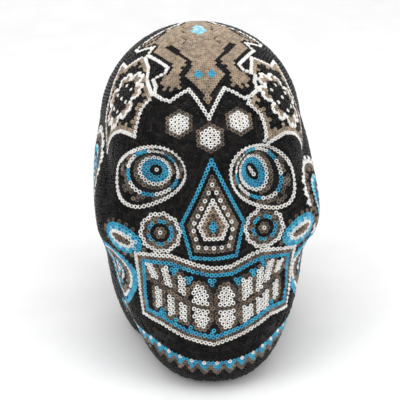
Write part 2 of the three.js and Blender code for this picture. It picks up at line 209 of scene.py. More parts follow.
def surface(name, colour, rough, bump, grain, spread=0.06, metallic=0.0, ior=1.5):
    """A Principled material with fine roughness and height variation of its own."""
    material = bpy.data.materials.new(name)
    material.use_nodes = True
    tree = material.node_tree
    shader = tree.nodes["Principled BSDF"]
    shader.inputs["Base Color"].default_value = (*colour, 1)
    shader.inputs["Roughness"].default_value = rough
    shader.inputs["Metallic"].default_value = metallic
    shader.inputs["IOR"].default_value = ior
    place = tree.nodes.new("ShaderNodeTexCoord")
    noise = tree.nodes.new("ShaderNodeTexNoise")
    noise.inputs["Scale"].default_value = grain
    noise.inputs["Detail"].default_value = 4
    tree.links.new(place.outputs["Object"], noise.inputs["Vector"])
    wear = tree.nodes.new("ShaderNodeMapRange")
    wear.inputs["To Min"].default_value = max(rough - spread, 0.02)
    wear.inputs["To Max"].default_value = rough + spread
    tree.links.new(noise.outputs["Fac"], wear.inputs["Value"])
    tree.links.new(wear.outputs["Result"], shader.inputs["Roughness"])
    height = tree.nodes.new("ShaderNodeBump")
    height.inputs["Strength"].default_value = bump
    height.inputs["Distance"].default_value = 0.0002
    tree.links.new(noise.outputs["Fac"], height.inputs["Height"])
    tree.links.new(height.outputs["Normal"], shader.inputs["Normal"])
    return material, tree, shader, noise


def mottled(name, dark, light, rough, bump, grain):
    material, tree, shader, noise = surface(name, light, rough, bump, grain)
    ramp = tree.nodes.new("ShaderNodeValToRGB")
    ramp.color_ramp.elements[0].position = 0.3
    ramp.color_ramp.elements[0].color = (*dark, 1)
    ramp.color_ramp.elements[1].position = 0.75
    ramp.color_ramp.elements[1].color = (*light, 1)
    tree.links.new(noise.outputs["Fac"], ramp.inputs["Fac"])
    tree.links.new(ramp.outputs["Color"], shader.inputs["Base Color"])
    return material


PULP_TOP, PULP_INSIDE = 2.8, 6.0
SEAM_DEGREES = 0.15  # how far each half stays clear of the seam
pulp = mottled("paper_pulp", (0.36, 0.31, 0.25), (0.62, 0.56, 0.47), 0.93, 0.6, 600)
for node, start in (("form_face_half", -90.0), ("form_back_half", 90.0)):
    first, last = start + SEAM_DEGREES, start + 180 - SEAM_DEGREES
    half = shell(node + "_pulp", PULP_TOP, PULP_INSIDE, 0.0, first, last, 60, pulp)
    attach(half, "root")
    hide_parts(node)

TAPE_TOP, TAPE_UNDER, TAPE_HALF, TAPE_LOW = 6.3, 7.1, 8.0, 18.0
TAPE_OUT = 52  # about how far the tape lies from the centre
tape_paper = mottled("tape_paper", (0.55, 0.50, 0.40), (0.74, 0.69, 0.58), 0.9, 0.4, 450)


def tape_band():
    """The tape runs from one side up over the crown's inside and down the other side."""
    tilt = np.linspace(-math.pi, math.pi, 121)
    rows = []
    for depth in (TAPE_TOP, TAPE_UNDER):
        for across in np.linspace(-TAPE_HALF, TAPE_HALF, 5):
            lean = np.full(tilt.shape, across / TAPE_OUT)
            lines = unit(np.stack([np.sin(tilt), lean, np.cos(tilt)], -1))
            spots = CENTRE + lines * (along(lines) - depth)[..., None]
            rows.append(spots[spots[:, 2] > TAPE_LOW])
    least = min(len(r) for r in rows)
    rows = [r[(len(r) - least) // 2 :][:least] for r in rows]
    points = np.concatenate(rows)
    ring = [0, 1, 2, 3, 4, 9, 8, 7, 6, 5]
    faces = []
    for i in range(len(ring)):
        a, b = ring[i] * least, ring[(i + 1) % len(ring)] * least
        for k in range(least - 1):
            faces.append((a + k, a + k + 1, b + k + 1, b + k))
    faces.append([r * least for r in ring])
    faces.append([r * least + least - 1 for r in reversed(ring)])
    return add_mesh("seam_tape_paper", points, faces, [tape_paper])


tape = tape_band()
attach(tape, "root")
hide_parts("seam_tape")

PLATE_ACROSS, PLATE_ALONG, PLATE_TALL = 19.7, 29.7, 2.4
card = mottled("grey_card", (0.33, 0.27, 0.2), (0.5, 0.42, 0.32), 0.92, 0.35, 380)


def card_plate():
    """An oval of card with slightly rubbed edges."""
    turn = np.linspace(0, 2 * math.pi, 72, endpoint=False)
    rings = [(0.97, 0.0), (1.0, 0.25), (1.0, PLATE_TALL - 0.25), (0.97, PLATE_TALL)]
    points = []
    for share, z in rings:
        for a in turn:
            x, y = PLATE_ACROSS * share * math.cos(a), PLATE_ALONG * share * math.sin(a)
            points.append((x, PLATE_Y + y, z))
    many = len(turn)
    faces = [list(range(many))[::-1], [3 * many + i for i in range(many)]]
    for r in range(3):
        for i in range(many):
            j = (i + 1) % many
            faces.append([r * many + i, r * many + j, (r + 1) * many + j, (r + 1) * many + i])
    return add_mesh("base_plate_card", points, faces, [card], smooth=False)


plate = card_plate()
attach(plate, "root")
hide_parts("base_plate")

# ---------------------------------------------------------------------------------------
# Wax coat: beeswax and pine resin warmed in the sun, spread thinly over the form by hand.
# The beads stand in it to two thirds of their height, so it shows dark between them.

WAX_TOP, WAX_UNDER, WAX_FLOOR = 0.85, 2.5, 0.8
wax = mottled("dark_wax", (0.0012, 0.001, 0.001), (0.004, 0.003, 0.0025), 0.8, 0.5, 900)
coat = shell("wax_coat_wax", WAX_TOP, WAX_UNDER, WAX_FLOOR, -90, 270, 200, wax)
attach(coat, "root")
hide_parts("wax_coat")

# ---------------------------------------------------------------------------------------
# Eyes: from the rim down into each socket the beads run in closed rows round the eye: a
# white rim, black, bronze, a ring that changes between turquoise and white, black, bronze,
# white and turquoise rows, black, and one or three white beads for the pupil.

BEAD = 1.96  # across one bead
PITCH = 2.0  # from bead to bead in a row
ROW = 1.74  # from row to row
BEAD_TALL = 1.32
FLOOR = 2.4  # the lowest bead's middle
SIDES = (("right", -1), ("left", 1))  # the skull's own right is at -X

rng = np.random.default_rng(7)
laid = []  # every bead's place so far
cells = {}  # which beads lie in each cube of space


def cell_of(p):
    return tuple(int(math.floor(p[axis] / PITCH)) for axis in range(3))


def nearby(p, reach):
    """Numbers of the beads within reach of p; reach is at most one pitch and a half."""
    x, y, z = cell_of(p)
    span = 1 if reach <= PITCH else 2
    found = []
    for i in range(x - span, x + span + 1):
        for j in range(y - span, y + span + 1):
            for k in range(z - span, z + span + 1):
                for n in cells.get((i, j, k), ()):
                    q = laid[n]
                    if (q[0] - p[0]) ** 2 + (q[1] - p[1]) ** 2 + (q[2] - p[2]) ** 2 < reach * reach:
                        found.append(n)
    return found


def put(p, apart):
    """Lays a bead at p unless another lies closer than apart; gives its number or None."""
    if p[2] < FLOOR or nearby(p, apart):
        return None
    laid.append((float(p[0]), float(p[1]), float(p[2])))
    cells.setdefault(cell_of(p), []).append(len(laid) - 1)
    return len(laid) - 1


class Chart:
    """A flat drawing laid on the skull: u to the right, v up the face and over the crown."""

    def __init__(self, at, out):
        self.out = unit(out)
        up = np.array([0, 0.5, 1.0])
        self.up = unit(up - self.out * (up @ self.out))
        self.right = np.cross(self.up, self.out)
        self.at = np.array(at, float)

    def place(self, flat):
        """Flat points moved along the drawing's own line of sight on to the skull."""
        flat = np.asarray(flat, float)
        p = self.at + flat[:, :1] * self.right + flat[:, 1:2] * self.up + self.out * 26
        for _ in range(60):
            p = p - self.out * (skull_distance(p) * 0.8)[:, None]
        return p

    def flat(self, points):
        d = np.asarray(points) - self.at
        return np.stack([d @ self.right, d @ self.up], -1)

    def faces(self, points):
        return outward(points) @ self.out > 0.15


def circle(radius, corners=60, turn=0.0):
    a = np.linspace(0, 2 * math.pi, corners, endpoint=False) + turn
    return np.stack([radius * np.cos(a), radius * np.sin(a)], -1)


def row_places(chart, outline, cornered=False, closed=True, step=PITCH):
    """Evenly spaced places along an outline; on a cornered one each corner has a bead."""
    outline = np.asarray(outline, float)
    if closed:
        outline = np.concatenate([outline, outline[:1]])
    edges = list(zip(outline[:-1], outline[1:])) if cornered else [None]
    places = []
    for edge in edges:
        if edge is None:
            fine = []
            for a, b in zip(outline[:-1], outline[1:]):
                many = max(2, int(np.linalg.norm(b - a) / 0.3))
                fine.append(a + (b - a) * (np.arange(many) / many)[:, None])
            fine = np.concatenate(fine + [outline[-1:]])
        else:
            many = max(3, int(np.linalg.norm(edge[1] - edge[0]) / 0.3))
            fine = edge[0] + (edge[1] - edge[0]) * (np.arange(many + 1) / many)[:, None]
        track = chart.place(fine)
        run = np.concatenate([[0], np.cumsum(np.linalg.norm(np.diff(track, axis=0), axis=1))])
        count = max(1, int(round(run[-1] / step)))
        stops = np.arange(count) * run[-1] / count
        places.append(np.stack([np.interp(stops, run, track[:, i]) for i in range(3)], -1))
    if not closed:
        places.append(chart.place(outline[-1:]))
    return np.concatenate(places)


def lay_row(field, chart, outline, pattern, cornered=False, closed=True, apart=0.86):
    """Beads along an outline in a colour pattern of (colour, how many) that repeats."""
    places = row_places(chart, outline, cornered, closed)
    colours = [colour for colour, many in pattern for _ in range(many)]
    turns = max(1, round(len(places) / len(colours)))
    for i, p in enumerate(places):
        n = put(p, PITCH * apart)
        if n is not None:
            share = i * turns / len(places)
            field.append((n, colours[int(share * len(colours) + 1e-6) % len(colours)]))


def lay_spots(field, chart, spots, colour, apart=0.8):
    for spot in chart.place(spots):
        n = put(spot, PITCH * apart)
        if n is not None:
            field.append((n, colour))


def inside(outline, flat):
    """Which flat points lie inside a closed outline."""
    outline = np.asarray(outline, float)
    x, y = flat[:, 0], flat[:, 1]
    within = np.zeros(len(flat), bool)
    for (ax, ay), (bx, by) in zip(outline, np.roll(outline, -1, axis=0)):
        crosses = (ay > y) != (by > y)
        if abs(by - ay) > 1e-9:
            within ^= crosses & (x < (bx - ax) * (y - ay) / (by - ay) + ax)
    return within


def grow(front, allowed, colour_of, field, apart=0.93, most=400):
    """Fills bare wax outwards from the beads in front: each new bead sits in the notch
    between two that touch, as a maker sets the next row against the last."""
    front = list(front)
    for _ in range(most):
        pairs = []
        for i in front:
            p = laid[i]
            for j in nearby(p, PITCH * 1.4):
                if j != i:
                    pairs.append((i, j))
        if not pairs:
            break
        a = np.array([laid[i] for i, _ in pairs])
        b = np.array([laid[j] for _, j in pairs])
        mid, gap = (a + b) / 2, np.linalg.norm(b - a, axis=1)
        tall = np.sqrt(np.maximum(PITCH**2 - (gap / 2) ** 2, 0.5))
        ways = unit(np.cross(outward(mid), b - a))
        spots = np.concatenate([mid + ways * tall[:, None], mid - ways * tall[:, None]])
        for _ in range(3):
            spots = spots - outward(spots) * skull_distance(spots)[:, None]
        good = allowed(spots)
        order = np.argsort(np.tile(gap, 2), kind="stable")
        fresh = []
        for k in order:
            if good[k]:
                n = put(spots[k], PITCH * apart)
                if n is not None:
                    fresh.append(n)
        if not fresh:
            break
        tints = colour_of(np.array([laid[n] for n in fresh]))
        field.extend(zip(fresh, tints))
        front = fresh


def fill(fields, chart, outline, field, colour="black", apart=0.84):
    """Beads of one colour on what is bare inside an outline, set against those of fields."""
    grow(
        [n for each in fields for n, _ in each],
        lambda p: inside(outline, chart.flat(p)) & chart.faces(p),
        lambda p: [colour] * len(p),
        field,
        apart,
    )


# One bead: a short tube of glass with rounded ends, seen from its hole. (across, height)
PROFILE = np.array([(1.0, -0.5), (1.03, 0.08), (0.91, 0.42), (0.70, 0.50), (0.54, 0.32), (0.50, -0.5)])
PROFILE = PROFILE * [BEAD / 2, BEAD_TALL]
AROUND = 10


def beads_mesh(name, field, colours):
    """One mesh of all a field's beads, each turned, tilted and sized a little."""
    numbers = [n for n, _ in field]
    at = np.array([laid[n] for n in numbers])
    out = outward(at)
    out = unit(out + rng.normal(0, 0.045, out.shape))
    side = unit(np.cross(out, unit(rng.normal(size=out.shape))))
    front = np.cross(out, side)
    wide = 1 + rng.normal(0, 0.018, len(at))
    tall = 1 + rng.normal(0, 0.05, len(at))
    sink = rng.normal(0, 0.07, len(at))
    turn = 2 * math.pi * np.arange(AROUND) / AROUND
    ring = np.stack([np.cos(turn), np.sin(turn)], -1)
    across, height = PROFILE[:, 0], PROFILE[:, 1] - BEAD_TALL / 2
    rise = height[None, None, :] * tall[:, None, None] + sink[:, None, None]
    flat = ring[:, None, :] * across[None, :, None]  # around, profile, 2
    spots = (
        at[:, None, None, :]
        + flat[None, ..., :1] * (side * wide[:, None])[:, None, None, :]
        + flat[None, ..., 1:] * (front * wide[:, None])[:, None, None, :]
        + rise[..., None] * out[:, None, None, :]
    )
    many = len(PROFILE)
    r, c = np.meshgrid(np.arange(AROUND), np.arange(many), indexing="ij")
    after, beside = ((r + 1) % AROUND) * many, (c + 1) % many
    quad = np.stack([r * many + c, after + c, after + beside, r * many + beside], -1).reshape(-1, 4)
    faces = (quad[None] + (np.arange(len(at)) * AROUND * many)[:, None, None]).reshape(-1, 4)
    names = sorted({colour for _, colour in field})
    shades, first = [], {}
    for colour in names:
        first[colour] = len(shades)
        shades.extend(colours[colour])
    picks = np.array([first[colour] + rng.integers(len(colours[colour])) for _, colour in field])
    return add_mesh(name, spots.reshape(-1, 3), faces, shades, picks=np.repeat(picks, AROUND * many))


def finish_field(node, field, suffix="_beads"):
    piece = beads_mesh(node + suffix, field, GLASS)
    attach(piece, "root")
    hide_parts(node)
    return piece


def glass(name, shades, rough, ior=1.52):
    """A few glass batches of one colour, so that neighbouring beads differ a little."""
    batches = []
    for i, shade in enumerate(shades):
        batch = surface(f"{name}_glass_{i + 1}", shade, rough, 0.12, 2600, 0.05, ior=ior)
        batches.append(batch[0])
    return batches


GLASS = {
    "white": glass("white", [(0.80, 0.78, 0.75), (0.74, 0.72, 0.68), (0.84, 0.83, 0.81)], 0.22),
    "black": glass(
        "black", [(0.0015, 0.0015, 0.002), (0.006, 0.005, 0.005), (0.014, 0.011, 0.010)], 0.08, 1.27
    ),
    "bronze": glass("bronze", [(0.15, 0.112, 0.080), (0.23, 0.175, 0.130), (0.10, 0.080, 0.062)], 0.18),
    "blue": glass("turquoise", [(0.035, 0.36, 0.56), (0.05, 0.43, 0.62), (0.03, 0.30, 0.50)], 0.18),
}

# Each eye by its rows: row number, middle on the chart (outwards and up), half sizes and
# lean. The rows between are spaced evenly.
EYES = [
    ("right", -1, [(0, (5.8, 0.5), (19.3, 12.7), 14), (4, (3.9, 1.2), (11.8, 10.2), 6),
                   (7, (3.2, 1.4), (6.8, 6.4), 0), (11, (3.0, 1.35), (0.5, 0.5), 0)]),
    ("left", 1, [(0, (0.9, -2.3), (19.3, 12.9), 22), (4, (-0.5, -1.4), (13.3, 10.1), 34),
                 (7, (-1.8, -1.6), (8.8, 6.5), 45), (11, (-2.0, -1.5), (2.6, 0.3), 45)]),
]


def own_side(outline, sign):
    """An outline drawn for the +X side, mirrored for the other."""
    return np.asarray(outline, float) * [sign, 1]


def eye_outline(eye, row):
    """A leaning oval that moves from the rim towards the pupil, row after row."""
    _, sign, keys = eye
    rows = [key[0] for key in keys]
    values = zip(*[(*middle, *half, lean) for _, middle, half, lean in keys])
    u, v, wide, tall, lean = [float(np.interp(row, rows, value)) for value in values]
    oval = circle(1.0, 90) * (wide, tall)
    cos, sin = math.cos(math.radians(lean)), math.sin(math.radians(lean))
    leaning = np.stack([oval @ [cos, sin], oval @ [-sin, cos]], -1)
    return own_side(leaning + (u, v), sign)


EYE_ROWS = [
    ("eye_rim", [("white", 1)]),
    ("eye_socket_band", [("black", 1)]),
    ("eye_socket_band", [("black", 2), ("bronze", 3)]),
    ("eye_socket_band", [("bronze", 3), ("black", 1)]),
    ("eye_dashed_ring", [("blue", 3), ("white", 4)]),
    ("eye_iris", [("black", 1)]),
    ("eye_iris", [("bronze", 1)]),
    ("eye_iris", [("white", 1)]),
    ("eye_iris", [("blue", 1)]),
    ("eye_iris", [("blue", 1)]),
    ("eye_iris", [("black", 1)]),
]
EYE_ORDER = (10, 9, 8, 7, 4, 0, 6, 5, 3, 1, 2)  # the bright rows first
EYE_SLOTS = {
    "eye_rim": "white_beads",
    "eye_socket_band": "black_beads",
    "eye_dashed_ring": "turquoise_beads",
    "eye_iris": "bronze_beads",
    "eye_pupil": "white_beads",
}
for eye in EYES:
    mark, sign, keys = eye
    facing = (sign * math.sin(SOCKET_TURN), -math.cos(SOCKET_TURN), 0)
    chart = Chart((sign * 25.6, -60, SOCKET_AT[2]), facing)
    fields = {node: [] for node in EYE_SLOTS}
    reach = np.array([0.0]) if mark == "right" else np.array([-1.5, 0, 1.5])
    pupil = np.stack([reach, -reach], -1) + keys[-1][1]
    lay_spots(fields["eye_pupil"], chart, own_side(pupil, sign), "white")
    for row in EYE_ORDER:
        node, pattern = EYE_ROWS[row]
        lay_row(fields[node], chart, eye_outline(eye, row), pattern, apart=0.74)
    fill(fields.values(), chart, eye_outline(eye, 0), fields["eye_iris"])
    for node, field in fields.items():
        finish_field(f"{node}_{mark}", field)

# ---------------------------------------------------------------------------------------
# Nose: closed rows step inwards from a turquoise drop: black, bronze, a row that changes
# between white and bronze, black, a white drop, tan, and a diamond of turquoise beads.


def inset(outline, by):
    """A closed outline moved inwards, its corners kept sharp."""
    outline = np.asarray(outline, float)
    arriving = unit(outline - np.roll(outline, 1, axis=0))
    leaving = unit(np.roll(outline, -1, axis=0) - outline)
    turn = np.stack([-arriving[:, 1] - leaving[:, 1], arriving[:, 0] + leaving[:, 0]], -1)
    share = 2 / np.maximum((turn**2).sum(1, keepdims=True), 0.2)
    return outline + turn * share * by


NOSE = [(0, -20.8), (10.2, -20.4), (14, -5), (0, 25.4), (-14, -5), (-10.2, -20.4)]
DROP = [(0, -11.1), (3.9, -11.1), (6.4, -5.5), (0, 7.2), (-6.4, -5.5), (-3.9, -11.1)]
FLANK = np.array([1.2, 1.0])  # the flanks lie back, so rows look closer together across

GLASS["tan"] = glass("tan", [(0.33, 0.25, 0.175), (0.41, 0.31, 0.215), (0.26, 0.20, 0.145)], 0.18)
nose_chart = Chart((0, -66, 88), (0, -1, 0.1))
NOSE_SLOTS = {
    "nose_outline": "turquoise_beads",
    "nose_panel": "bronze_beads",
    "nose_drop_outline": "white_beads",
    "nose_drop": "tan_beads",
}
nose_fields = {node: [] for node in NOSE_SLOTS}
NOSE_ROWS = [
    ("nose_outline", NOSE, 0, [("blue", 1)]),
    ("nose_drop_outline", DROP, 0, [("white", 1)]),
    ("nose_panel", NOSE, 1, [("black", 1)]),
    ("nose_panel", NOSE, 2, [("bronze", 1)]),
    ("nose_panel", NOSE, 3, [("white", 1), ("bronze", 1)]),
    ("nose_drop", DROP, 1, [("tan", 1)]),
    ("nose_drop", DROP, 2, [("bronze", 1)]),
]
DIAMOND = [(0, -3.6), (-1, -5.3), (1, -5.3), (0, -7.0)]
lay_spots(nose_fields["nose_drop"], nose_chart, DIAMOND, "blue")
for node, outline, step, pattern in NOSE_ROWS:
    shape = inset(np.array(outline) * FLANK, step * ROW) / FLANK
    lay_row(nose_fields[node], nose_chart, shape, pattern, cornered=True, apart=0.8)
fill(nose_fields.values(), nose_chart, NOSE, nose_fields["nose_panel"])
for node, field in nose_fields.items():
    finish_field(node, field)

# ---------------------------------------------------------------------------------------
# Forehead dots: three six-sided rosettes, white with a ring of bronze beads round them.


def aimed(side, up):
    """A chart where a line from the centre leaves the skull, by degrees to +X and up."""
    side, up = math.radians(side), math.radians(up)
    line = np.array([math.sin(side) * math.cos(up), -math.cos(side) * math.cos(up), math.sin(up)])
    at = CENTRE + line * along(line[None])[0]
    return Chart(at, outward(at[None])[0])


def rosette(field, chart, rings, turn=0.0):
    """Six-sided rings of touching beads round a middle bead: rings is a colour per ring."""
    for k, colour in enumerate(rings):
        lay_spots(field, chart, [(0, 0)] if k == 0 else hexagon(k, turn), colour)


def hexagon(k, turn):
    corners = circle(k * PITCH, 6, turn)
    return [corners[i] + (corners[(i + 1) % 6] - corners[i]) * s / k for i in range(6) for s in range(k)]


DOTS = [  # name, degrees to +X, degrees up
    ("forehead_dot_middle", 0, 38.5),
    ("forehead_dot_right", -14.2, 43.5),
    ("forehead_dot_left", 14.2, 43.5),
]
for node, side, up in DOTS:
    dot = []
    rosette(dot, aimed(side, up), ["white", "white", "white", "bronze"], turn=math.pi / 6)
    finish_field(node, dot)

# ---------------------------------------------------------------------------------------
# Lizard: a tan lizard over the crown, its head down the forehead between two forelegs, its
# tail to the back. A row of black and a row of white follow its edge; black bars part the
# legs from the body. It has two turquoise eyes and a pale diamond on its back.

GLASS["aqua"] = glass("aqua", [(0.30, 0.62, 0.72), (0.42, 0.70, 0.76), (0.20, 0.52, 0.66)], 0.18)
EDGE = [
    (0, -27.1), (8, -11.2), (16.6, -15.5), (20, -12.8), (23.2, -8), (22.4, -3), (23.3, 2.6),
    (17.6, 4.4), (16.3, 8.1), (25, 26.5), (21.6, 32), (29, 36), (30, 41), (17, 50), (9, 56),
    (6, 66), (0, 84),
]
BAR = [(15.2, 27), (6.1, 7.8), (10, -1.4), (9.6, -7.7)]
HIND = [(28, 38.5), (20.3, 39.8), (12, 53.4)]
HEAD = [(0, -19.8), (8.8, -1.6), (5.2, 6.4), (5.2, 9), (-5.2, 9), (-5.2, 6.4), (-8.8, -1.6)]
FOOT = [
    (8.6, 0.4), (11, 9), (19, 9), (20.5, 3), (22, -0.8), (18.4, -3.2), (20.2, -8.4), (16.6, -7.2),
    (16.4, -12), (13.4, -8), (11, -10), (10.8, -5),
]
RIM_REACH, BAR_REACH, HIND_REACH = 2.7, 1.4, 1.0  # how far black runs from these lines
HEAD_TOP = 5  # up to here the ground shows between the head and the feet
lizard_chart = Chart((0, -32, 143.5), (0, -0.42, 0.91))


def both(outline):
    """A half outline closed by its mirror image."""
    return outline + [(-x, y) for x, y in reversed(outline[1:-1])]


edge = both(EDGE)
lizard_outline, lizard_body = [], []
lay_row(lizard_outline, lizard_chart, edge, [("white", 1)], cornered=True, apart=0.76)
lay_row(lizard_body, lizard_chart, [(-8.0, -2), (8.0, -2)], [("tan", 1)], closed=False)


def in_lizard(p):
    return inside(edge, lizard_chart.flat(p)) & lizard_chart.faces(p)


def near_line(flat, line, reach):
    """Which flat points lie within reach of an open line."""
    close = np.zeros(len(flat), bool)
    for a, b in zip(np.array(line[:-1], float), np.array(line[1:], float)):
        along_it = np.clip(((flat - a) @ (b - a)) / ((b - a) @ (b - a)), 0, 1)
        close |= np.linalg.norm(flat - a - along_it[:, None] * (b - a), axis=1) < reach
    return close


def lizard_colours(p):
    """Tan, but for the eyes, the pale lozenge on the back, the black bars, the black edge and
    the ground between head and feet."""
    flat = lizard_chart.flat(p)
    half = np.abs(flat) * [1, 0] + flat * [0, 1]
    rim = near_line(flat, edge + [edge[0]], RIM_REACH)
    bars = near_line(half, BAR, BAR_REACH) | near_line(half, HIND, HIND_REACH)
    low = (half[:, 1] < HEAD_TOP) & ~inside(HEAD, flat) & ~inside(FOOT, half)
    eyes = np.abs(half[:, 0] - 3.2) / 2.2 + np.abs(half[:, 1] + 2) / 4.4 < 1
    back = half[:, 0] / 4.4 + np.abs(half[:, 1] - 40.5) / 7.6 < 1
    return np.select([eyes, back, rim | bars | low], ["blue", "aqua", "black"], "tan").tolist()


seeds = [n for n, _ in lizard_body]
lizard_body = list(zip(seeds, lizard_colours(np.array([laid[n] for n in seeds]))))
grow(seeds, in_lizard, lizard_colours, lizard_body, apart=0.92)
grow([n for n, _ in lizard_body + lizard_outline], in_lizard, lizard_colours, lizard_body, apart=0.84)
crest = [(n, colour) for n, colour in lizard_body if colour == "aqua"]
lizard_body = [(n, colour) for n, colour in lizard_body if colour != "aqua"]
finish_field("lizard_outline", lizard_outline)
finish_field("lizard_body", lizard_body)
finish_field("lizard_crest_diamond", crest)

# ---------------------------------------------------------------------------------------
# Temple flowers: at each temple a pointed white and tan star round seven white petals, its
# rows laid from the points inwards.

STAR = [  # on the +X side, round the flower's middle: first the low point nearest the brow
    (-20.4, -20.4), (-8.6, -17.3), (0.2, -17.4), (14, -21), (20, -4), (18, 5), (21, 24),
    (12, 19.5), (2, 25), (-8.5, 16.3), (-14.5, 8), (-24, -1), (-20.8, -8),
]
PETALS = 7
PETAL = [(10.0, -3.7), (12.6, -4.0), (14.6, -2.1), (13.2, 0), (14.6, 2.1), (12.6, 4.0), (10.0, 3.7)]
PETAL_HEART = [(10.2, -1.9), (12.3, -1.9), (11.4, 0), (12.3, 1.9), (10.2, 1.9)]
TEMPLES = (("right", -1, (4.6, 1.0)), ("left", 1, (-4.5, -3.5)))


def turned(outline, turn):
    """Points given as (out, across) from a middle, turned round it."""
    cos, sin = math.cos(turn), math.sin(turn)
    return [(x * cos - y * sin, x * sin + y * cos) for x, y in outline]


def ringed(field, chart, rings, apart=0.86):
    """Round rows about one middle: rings is a list of (radius, pattern)."""
    for radius, pattern in rings:
        lay_row(field, chart, circle(radius, 60), pattern, apart=apart)


def filled(field, chart, outline, colour):
    fill([field], chart, outline, field, colour, 0.88)


for mark, sign, middle in TEMPLES:
    star_chart = Chart((sign * 36.1, -23.3, 129.5), (sign * 0.77, -0.18, 0.62))
    star = own_side(np.array(STAR) + middle, sign)[::sign]
    edge_field, petal_field = [], []
    lay_row(edge_field, star_chart, star, [("white", 1)], cornered=True)
    for k in range(PETALS):
        turn = math.radians(168) + 2 * math.pi * k / PETALS
        for outline, colour in ((PETAL, "white"), (PETAL_HEART, "tan")):
            shape = own_side(np.array(turned(outline, turn)) + middle, sign)
            lay_row(petal_field, star_chart, shape, [(colour, 1)], closed=False, apart=0.8)
    dots = [(0, 0)] + turned(circle(7.0, 6), math.radians(25))
    lay_spots(petal_field, star_chart, own_side(np.array(dots) + middle, sign), "white")
    lay_row(edge_field, star_chart, inset(star, ROW), [("tan", 1)], cornered=True)
    lay_row(edge_field, star_chart, inset(star, ROW * 2), [("tan", 1), ("black", 2)], cornered=True)
    petal_edge = own_side(circle(13.5) + middle, sign)
    filled(petal_field, star_chart, petal_edge, "black")
    filled(edge_field, star_chart, star, "black")
    finish_field(f"temple_flower_edge_{mark}", edge_field)
    finish_field(f"temple_flower_{mark}", petal_field)

# ---------------------------------------------------------------------------------------
# Mouth: a panel wrapped round the muzzle. Its border is a row of white, one of bronze and
# one of turquoise with small points between the teeth. The teeth are lozenges of white
# beads, nine above and nine below, edged in bronze, on a black gum.


class Wrap:
    """A drawing wrapped round the muzzle: u is the way along the skin from the middle, v
    the height."""

    def __init__(self):
        self.heights = np.arange(8, 92, 2.0)
        self.x = np.linspace(0, 52, 209)
        self.runs = []
        for z in self.heights:
            track = self.cast(self.x, np.full(self.x.shape, z))
            run = np.concatenate([[0], np.cumsum(np.hypot(np.diff(track[:, 0]), np.diff(track[:, 1])))])
            self.runs.append(run)
        self.runs = np.array(self.runs)

    @staticmethod
    def cast(x, z):
        p = np.stack([x, np.full(x.shape, -100.0), z], -1)
        for _ in range(90):
            p[:, 1] += np.clip(skull_distance(p) * 0.8, -4, 4)
            p[:, 1] = np.minimum(p[:, 1], 0)
        return p

    def run_at(self, z):
        k = np.clip((z - self.heights[0]) / 2.0, 0, len(self.heights) - 1.001)
        i = k.astype(int)
        return self.runs[i] * (1 - (k - i))[:, None] + self.runs[i + 1] * (k - i)[:, None]

    def place(self, flat):
        flat = np.asarray(flat, float)
        table = self.run_at(flat[:, 1])
        x = np.array([np.interp(abs(u), row, self.x) for u, row in zip(flat[:, 0], table)])
        return self.cast(np.sign(flat[:, 0]) * x, flat[:, 1])

    def flat(self, points):
        table = self.run_at(points[:, 2])
        u = np.array([np.interp(abs(x), self.x, row) for x, row in zip(points[:, 0], table)])
        return np.stack([np.sign(points[:, 0]) * u, points[:, 2]], -1)

    def faces(self, points):
        return points[:, 1] < -20


wrap = Wrap()

BORDER = [
    (-1.5, 26.9), (12.8, 30.9), (28.2, 35.9), (40.6, 34.6), (42.8, 46.4), (41, 64.6), (23.4, 67.1),
    (18.8, 66.2), (7.4, 62.5), (-1, 62.6), (-9.2, 64.1), (-19.9, 66.8), (-37, 66.4), (-38.7, 47.3),
    (-38, 36.1), (-26.1, 34.4), (-14.3, 29.8),
]
border = []
for k, colour in enumerate(("white", "bronze", "blue")):
    lay_row(border, wrap, inset(BORDER, ROW * k), [(colour, 1)], cornered=True)
finish_field("mouth_border", border)

TEETH = [  # way along from the middle, bite line's height, beads across, upper tooth's lean
    (-27.3, 52.7, 2, -0.45), (-20.9, 50.2, 2, -0.25), (-15.2, 47.5, 2, 0), (-6.9, 44.9, 4, 0),
    (5.1, 43.8, 4, 0), (15.2, 45.1, 3, 0), (21.3, 47.4, 2, 0.1), (25.0, 50.3, 2, 0.3),
    (31.2, 53.1, 2, 0.35),
]
WIDE_TOOTH = [4, 3, 4, 3, 2]  # beads in each row of a wide tooth, from the bite
TOOTH_START, TOOTH_END = 1.6, 10.4  # how far from the bite a narrow tooth's beads lie
POINTS_UP = [  # tips of the small points that stand up between the teeth
    (-11.9, 35.6), (-18.9, 38.6), (-25.8, 42), (-1.2, 34.4), (10.6, 33.8), (19.2, 35.6), (24.1, 39),
    (28.6, 42.3),
]
POINTS_DOWN = [
    (-26, 61.7), (-18.8, 58.4), (-11.9, 55), (-1.2, 54.2), (10.9, 53.7), (18.7, 56.1), (24.5, 59.4),
]
gum = []
for points, way in ((POINTS_UP, -1), (POINTS_DOWN, 1)):
    for u, v in points:
        base = v + way * (ROW + 0.6)
        lay_spots(gum, wrap, [(u, v + way * 0.6), (u - PITCH / 2, base), (u + PITCH / 2, base)], "blue")
bite = [(-34, 55)] + [(u, v) for u, v, _, _ in TEETH] + [(36.5, 55.6)]
lay_row(gum, wrap, bite, [("bronze", 1)], closed=False)
tooth_fields, rings_round_teeth = {}, []
